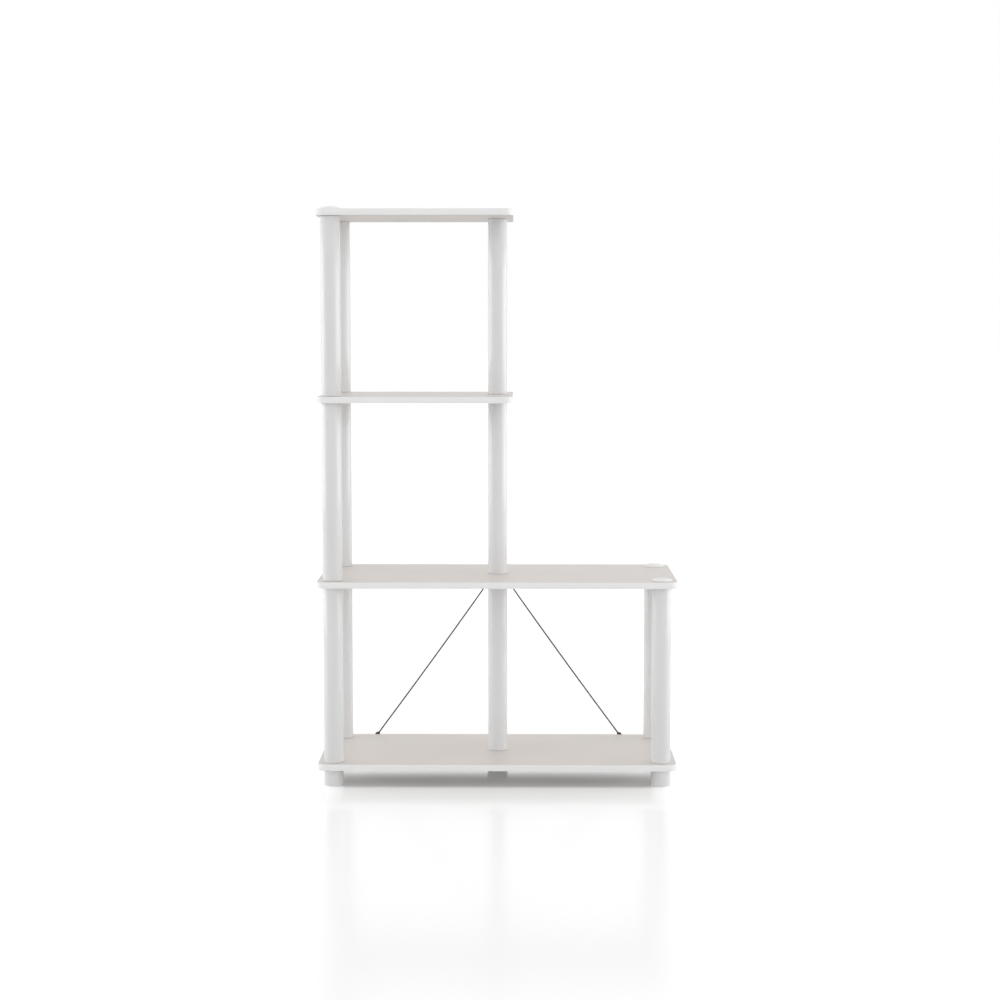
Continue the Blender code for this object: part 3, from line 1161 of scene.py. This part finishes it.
@dataclass(frozen=True)
class Braces:
    """The two brace wires, mirror images with their ends pressed flat and drilled."""

    wire_radius: float = 1.15 * MM
    tab_width: float = 8.5 * MM
    tab_thickness: float = 1.2 * MM
    tab_reach: float = 12.5 * MM
    tab_straight: float = 7.5 * MM
    tab_edge: float = 0.35 * MM
    neck: float = 3.0 * MM
    bow: float = 1.1 * MM
    bow_rings: int = 24
    hole_radius: float = 1.8 * MM
    touch: float = 0.1 * MM
    tip_roundness: float = 0.995
    tab_edge_angle: float = math.radians(60)
    smooth_angle: float = math.radians(35)
    tip_segments: int = 12
    tab_edge_segments: int = 3
    hole_facets: int = 32
    facets: int = 24

    def build(self) -> None:
        """Model one wire upright, copy it, mirror the copy, and lay both across the back."""
        run = self.run("left")
        left = self.upright("brace_wire_left_drawn", run.length)
        right = Bench.copy(left, "brace_wire_right_drawn", Vector())
        Bench.mark(right, "VERT", lambda vert: True)
        bpy.ops.transform.resize(value=(-1.0, 1.0, 1.0), center_override=(0.0, 0.0, 0.0))
        Bench.leave()
        for wire, side in ((left, "left"), (right, "right")):
            self.lay(wire, side)
            Bench.finish(wire, WIRE, self.smooth_angle)
            Bench.hand_over(wire, f"brace_wire_{side}")

    def run(self, side: str) -> Vector:
        """The way from a wire's lower screw to the upper one, as seen from the front."""
        way = Span.of("brace_screw_upper").middle - Span.of(f"brace_screw_lower_{side}").middle
        return Vector((way.x, 0.0, way.z))

    @property
    def step_out(self) -> float:
        """How far the wire's axis lies behind the tabs', so that their front sides line up."""
        return self.wire_radius - self.tab_thickness / 2

    def upright(self, name: str, length: float) -> Piece:
        """A wire standing with its lower screw hole on the origin.

        Args:
            name: Its name.
            length: From one screw hole to the other.

        Returns:
            The wire.
        """
        start, end = self.tab_straight, length - self.tab_straight
        step = (end - start) / self.bow_rings
        foot = (0.0, self.step_out, start)
        wire = Bench.cylinder(name, self.wire_radius, foot, step, self.facets)
        Bench.mark(wire, "FACE", lambda face: face.normal.z > LEVEL)
        for k in range(1, self.bow_rings):
            aside = self.bowed(k + 1) - self.bowed(k)
            bpy.ops.mesh.extrude_region_move(TRANSFORM_OT_translate={"value": (aside, 0.0, step)})
        Bench.leave()
        for screw, sign in ((0.0, 1.0), (length, -1.0)):
            Bench.combine(wire, self.neck_piece(screw, sign), "UNION")
            Bench.combine(wire, self.tab_piece(screw, sign), "UNION")
            Bench.combine(wire, self.drill(screw), "DIFFERENCE")
        return wire

    def bowed(self, ring: int) -> float:
        """How far a ring of the wire lies aside of the line between its ends."""
        share = min(max((ring - 1) / (self.bow_rings - 2), 0.0), 1.0)
        return 4 * self.bow * share * (1 - share)

    def tab_piece(self, screw: float, sign: float) -> Piece:
        """The flattened end with its round tip.

        Args:
            screw: Height of the screw's axis.
            sign: 1 where the wire goes up from it, -1 where it goes down.

        Returns:
            The tab.
        """
        half, thin = self.tab_width / 2, self.tab_thickness / 2
        tip = screw - sign * self.tab_reach
        low, high = sorted((tip, screw + sign * self.tab_straight))
        tab = Bench.block("tab", (-half, -thin, low), (half, thin, high))
        radius = half * self.tip_roundness
        Bench.ease(tab, lambda edge: self.is_tip_corner(edge, tip), radius, self.tip_segments)
        Bench.apply(
            tab,
            "BEVEL",
            width=self.tab_edge,
            segments=self.tab_edge_segments,
            limit_method="ANGLE",
            angle_limit=self.tab_edge_angle,
        )
        return tab

    def is_tip_corner(self, edge: Edge, tip: float) -> bool:
        """Whether an edge runs through a tab's thickness at its tip.

        Args:
            edge: An edge of the tab.
            tip: Height of the tip.

        Returns:
            True for the tip's two corners.
        """
        first, second = (vert.co for vert in edge.verts)
        through = abs(first.y - second.y) > self.tab_thickness / 2
        return through and all(abs(end.z - tip) < self.touch for end in (first, second))

    def neck_piece(self, screw: float, sign: float) -> Piece:
        """The blend from the flat tab to the round wire.

        Args:
            screw: Height of the screw's axis.
            sign: 1 where the wire goes up from it, -1 where it goes down.

        Returns:
            The neck.
        """
        inside = screw + sign * (self.tab_straight - self.tab_edge)
        flat = screw + sign * self.tab_straight
        end = flat + sign * self.neck
        low = min(inside, end)
        neck = Bench.cylinder(
            "neck", self.wire_radius, (0.0, self.step_out, low), abs(end - inside), self.facets
        )
        Bench.mark(neck, "VERT", lambda vert: abs(vert.co.z - inside) < self.touch)
        wide, thin = (size / 2 / self.wire_radius for size in (self.tab_width, self.tab_thickness))
        bpy.ops.transform.resize(
            value=(wide, thin, 1.0), center_override=(0.0, -self.tab_thickness / 2, inside)
        )
        Bench.leave()
        return neck

    def drill(self, screw: float) -> Piece:
        """The shape that drills a tab at the height of its screw's axis."""
        measures = (self.hole_radius, (0.0, 0.0, screw), 4 * self.tab_thickness, self.hole_facets)
        return Bench.lying_cylinder("tab_drill", *measures)

    def lay(self, wire: Piece, side: str) -> None:
        """Lean an upright wire between its screws, its lower tab flat on the board's edge.

        Args:
            wire: The wire, standing on the origin.
            side: left or right.
        """
        solid = Span.of(f"brace_wire_{side}")
        lower = Span.of(f"brace_screw_lower_{side}").middle
        tab = solid.low.y + self.tab_thickness / 2
        lean = solid.high.y - solid.low.y - 2 * self.wire_radius
        way = self.run(side)
        Bench.pick(wire)
        wire.rotation_mode = "QUATERNION"
        direction = Vector((way.x, max(lean, 0.0), way.z))
        wire.rotation_quaternion = Vector((0.0, 0.0, 1.0)).rotation_difference(direction)
        wire.location = (lower.x, tab, lower.z)
        bpy.ops.object.transform_apply(location=True, rotation=True, scale=True)


@dataclass(frozen=True)
class Screws:
    """The pan-head screws of the braces: two at the boards' ends, and a longer one between."""

    lower: tuple[str, str] = ("brace_screw_lower_left", "brace_screw_lower_right")
    upper: str = "brace_screw_upper"
    shank_radius: float = 1.5 * MM
    point_radius: float = 0.3 * MM
    head_radius: float = 3.5 * MM
    head_height: float = 2.2 * MM
    head_side: float = 0.8 * MM
    dome_rings: int = 6
    crown_flat: float = 0.4
    tip: float = 2.5 * MM
    recess_depth: float = 1.2 * MM
    recess_length: float = 3.6 * MM
    recess_width: float = 0.8 * MM
    facets: int = 48

    def build(self) -> None:
        """Turn one screw of each length, and copy the shorter."""
        for nodes in (self.lower, (self.upper,)):
            Bench.stand(self.screw(nodes[0]), nodes, "turned")

    def screw(self, node: str) -> Piece:
        """One screw, turned standing on its tip and then laid in the board's edge.

        Args:
            node: The solid that it stands for.

        Returns:
            The screw.
        """
        span = Span.of(node)
        length = span.size.y
        under_head = length - self.head_height
        neck = (0.0, 0.0, self.tip)
        shank = under_head - self.tip
        screw = Bench.cylinder(node + "_turned", self.shank_radius, neck, shank, self.facets)
        head = self.head_rings(under_head)
        Bench.grow(screw, -1, [(self.point_radius, 0.0)], self.shank_radius, neck)
        Bench.grow(screw, 1, head, self.shank_radius, (0.0, 0.0, under_head))
        for angle in (0.0, math.pi / 2):
            Bench.combine(screw, self.recess(length, angle), "DIFFERENCE")
        Bench.pick(screw)
        screw.rotation_euler = (-math.pi / 2, 0.0, 0.0)
        screw.location = (span.middle.x, span.low.y, span.middle.z)
        bpy.ops.object.transform_apply(location=True, rotation=True, scale=True)
        Bench.finish(screw, SCREW)
        return screw

    def head_rings(self, under_head: float) -> list[Pair]:
        """Rings of the pan head, from its underside to its crown.

        Args:
            under_head: Height of the underside.

        Returns:
            Radius and height of each ring.
        """
        radius = self.head_radius
        rim = under_head + self.head_side
        rise = self.head_height - self.head_side
        dome = Bench.dome(radius, rim, rise, self.dome_rings, self.crown_flat)
        return [(radius, under_head), (radius, rim)] + dome

    def recess(self, crown: float, angle: float) -> Piece:
        """The shape that cuts one arm of the cross recess into the crown."""
        size = (self.recess_length, self.recess_width, 2 * self.recess_depth)
        return Bench.bar("recess", (0.0, 0.0, crown), size, angle)


@dataclass(frozen=True)
class Camera:
    """The photograph's camera, for a picture of 1000 by 1000."""

    place: Point = (32.2 * MM, -3390.1 * MM, 778.6 * MM)
    heading: float = math.radians(0.477)
    pitch: float = math.radians(-5.188)
    focal_px: float = 1991.9
    image_px: int = 1000
    sensor_mm: float = 36.0
    clip: Pair = (0.05, 200.0)

    def set_up(self) -> None:
        """Add the camera and make it the scene's."""
        camera = bpy.data.cameras.new("photo_camera")
        camera.sensor_width = self.sensor_mm
        camera.sensor_fit = "HORIZONTAL"
        camera.lens = self.focal_px / self.image_px * self.sensor_mm
        camera.clip_start, camera.clip_end = self.clip
        stand = bpy.data.objects.new("photo_camera", camera)
        stand.location = self.place
        stand.rotation_euler = (math.pi / 2 + self.pitch, 0.0, self.heading)
        bpy.context.scene.collection.objects.link(stand)
        bpy.context.scene.camera = stand


@dataclass(frozen=True)
class SoftBox:
    """A large soft lamp."""

    name: str
    place: Point
    size: Pair
    power: float

    def add(self) -> None:
        """Add the lamp upright, facing the object's middle plane."""
        lamp = bpy.data.lights.new(self.name, "AREA")
        lamp.shape = "RECTANGLE"
        lamp.size, lamp.size_y = self.size
        lamp.energy = self.power
        stand = bpy.data.objects.new(self.name, lamp)
        stand.location = self.place
        aim = Vector((-self.place[0], 0.0, 0.0))
        stand.rotation_euler = aim.to_track_quat("-Z", "Y").to_euler()
        bpy.context.scene.collection.objects.link(stand)


@dataclass(frozen=True)
class Studio:
    """White surroundings, a glossy white floor and soft lamps.

    The fills are the world's light: from all round, from low down, and level from both sides.
    The glows are white that the floor adds by place where the camera sees it, painted light and
    painted shade: even everywhere and far away, painted light beside the object that washes out
    its shadow there, painted light before its front, a painted strip of light under its boards
    from the back to the front with a painted shadow of the centre foot in it, and painted shade
    under the boards. Pairs of distances say where one of them sets in.
    """

    fill: float = 0.685
    low_fill: float = 1.04
    side_fill: float = 3.20
    floor_half: float = 40.0
    floor_colour: Colour = (0.66, 0.66, 0.66)
    floor_white: float = 0.85
    floor_roughness: float = 0.16
    floor_ior: float = 1.50
    footprint: Pair = (0.30, 0.125)
    open_glow: float = 0.313
    # Painted light beside the object, which washes out its shadow on the floor there.
    beside_glow: float = 0.26
    side_edge: Pair = (0.045, 0.005)
    clear: Pair = (1.3, 2.6)
    far_glow: float = 0.50
    far: Pair = (3.0, 9.0)
    # Painted light on the floor just before the boards' front, out to the front reach.
    front_glow: float = 0.085
    front_edge: Pair = (0.013, 0.006)
    front_reach: float = 0.17
    front_fade: float = 0.06
    # Painted shade on the floor under the boards.
    under_shade: float = 0.20
    # Painted strip of light on the floor under the boards, strongest at their middle and gone at
    # the slit's reach. Within its edge a band as wide as the centre foot stays dark, the foot's
    # painted shadow.
    slit_glow: float = 0.62
    slit_reach: float = 0.080
    painted_foot_shadow_edge: Pair = (0.0145, 0.0185)
    lamps: tuple[SoftBox, ...] = (
        SoftBox("left_softbox", (-2.6, 0.45, 0.70), (2.7, 1.2), 14.5),
        SoftBox("right_softbox", (2.6, 0.25, 0.70), (3.1, 1.2), 17.5),
    )

    def set_up(self) -> None:
        """Build the world, the floor and the lamps."""
        bpy.context.scene.view_settings.view_transform = "Standard"
        self.world()
        self.floor()
        for lamp in self.lamps:
            lamp.add()

    def world(self) -> None:
        """White wherever it is seen; it lights most from low down and from the sides."""
        world = bpy.data.worlds.new("studio")
        world.use_nodes = True
        bpy.context.scene.world = world
        sheet = Sheet(world.node_tree)
        path = sheet.node("ShaderNodeLightPath")
        seen = Signal(sheet, path.outputs["Is Camera Ray"])
        mirrored = Signal(sheet, path.outputs["Is Glossy Ray"])
        through = Signal(sheet, path.outputs["Is Transmission Ray"])
        shown = seen.most(mirrored).most(through)
        direction = sheet.node("ShaderNodeTexCoord").outputs["Generated"]
        axes = sheet.node("ShaderNodeSeparateXYZ", {}, {"Vector": direction})
        low = 1.0 - Signal(sheet, axes.outputs["Z"]).most(0.0)
        across = Signal(sheet, axes.outputs["X"])
        near_level = low * low * low * low
        level = near_level * near_level * near_level * near_level
        low_light = near_level * self.low_fill
        side_light = level * across * across * self.side_fill
        light = low_light + side_light + self.fill
        background = world.node_tree.nodes["Background"]
        background.inputs["Color"].default_value = WHITE
        sheet.feed(background.inputs["Strength"], shown * (1.0 - light) + light)

    def glow(self, sheet: Sheet) -> Signal:
        """The white that the floor adds to its shadow by place, painting light and shade on it.

        Args:
            sheet: The floor's nodes.

        Returns:
            Its strength: full beside and far from the object, least under its boards.
        """
        here = sheet.place()
        axes = sheet.node("ShaderNodeSeparateXYZ", {}, {"Vector": here})
        from_x, from_y = (
            sheet.signal("ShaderNodeMath", {"operation": "ABSOLUTE"}, {0: axes.outputs[name]})
            for name in ("X", "Y")
        )
        away = sheet.signal("ShaderNodeVectorMath", {"operation": "LENGTH"}, {0: here}, "Value")
        half_x, half_y = self.footprint
        side_in, side_out = self.side_edge
        front_in, front_out = self.front_edge
        front_end = half_y + self.front_reach
        # Beside the object and far from it, painted light washes out its shadow.
        beside = from_x.step(half_x - side_in, half_x + side_out).most(away.step(*self.clear))
        before = from_y.step(half_y - front_in, half_y + front_out)
        near = before - from_y.step(front_end - self.front_fade, front_end)
        # The slit paints a strip of light under the boards, and leaves out a band as wide as the
        # centre foot as the foot's painted shadow.
        slit = (1.0 - from_y * (1.0 / self.slit_reach)).most(0.0) * from_x.step(*self.painted_foot_shadow_edge)
        lit = slit * slit * self.slit_glow + near * self.front_glow
        # Painted shade under the boards' footprint.
        under = lit + (before - 1.0) * self.under_shade
        around = beside * self.beside_glow + (1.0 - beside) * under
        return self.open_glow + around + away.step(*self.far) * self.far_glow

    def floor(self) -> None:
        """A wide white floor that mirrors faintly and keeps the object's shadow."""
        Bench.clear_selection()
        bpy.ops.mesh.primitive_plane_add(size=2 * self.floor_half, location=(0.0, 0.0, 0.0))
        floor = Bench.settle("studio_floor")
        material = bpy.data.materials.new("studio_floor")
        material.use_nodes = True
        sheet = Sheet(material.node_tree)
        for node in list(material.node_tree.nodes):
            material.node_tree.nodes.remove(node)
        path = sheet.node("ShaderNodeLightPath")
        seen = Signal(sheet, path.outputs["Is Camera Ray"])
        mirrored = Signal(sheet, path.outputs["Is Glossy Ray"])
        white = (self.floor_white,) * 3
        colour = sheet.blend(seen, self.floor_colour, white)
        diffuse = sheet.node("ShaderNodeBsdfDiffuse", {}, {"Color": colour})
        shown = seen * self.glow(sheet) + mirrored * self.open_glow
        glow = sheet.node("ShaderNodeEmission", {}, {"Strength": shown})
        matt = sheet.node("ShaderNodeAddShader", {}, {0: diffuse.outputs[0], 1: glow.outputs[0]})
        gloss = sheet.node(
            "ShaderNodeBsdfAnisotropic",
            {"distribution": "MULTI_GGX"},
            {"Roughness": self.floor_roughness, "Color": WHITE},
        )
        share = sheet.node("ShaderNodeFresnel", {}, {"IOR": self.floor_ior})
        parts = {0: share.outputs[0], 1: matt.outputs[0], 2: gloss.outputs[0]}
        both = sheet.node("ShaderNodeMixShader", {}, parts)
        sheet.node("ShaderNodeOutputMaterial", {}, {"Surface": both.outputs[0]})
        floor.data.materials.append(material)


def main() -> None:
    """Load the frame, set up camera and studio, and build every piece."""
    logging.basicConfig(level=logging.INFO, format="%(name)s: %(message)s")
    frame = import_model()
    Camera().set_up()
    Studio().set_up()
    screws = (Screws.lower, (Screws.upper,))
    base = ShelfPair(("bottom_shelf", "middle_shelf"), tuple(Place), Tier.BASE, screws)
    tower = ShelfPair(("upper_shelf", "top_shelf"), TOWER_PLACES, Tier.TOWER_UPPER)
    for pair in (base, tower):
        pair.build()
    Posts().build(frame["nodes"])
    Caps().build()
    Feet().build()
    Braces().build()
    Screws().build()
    Bench.clear_selection()


if __name__ == "__main__":
    main()
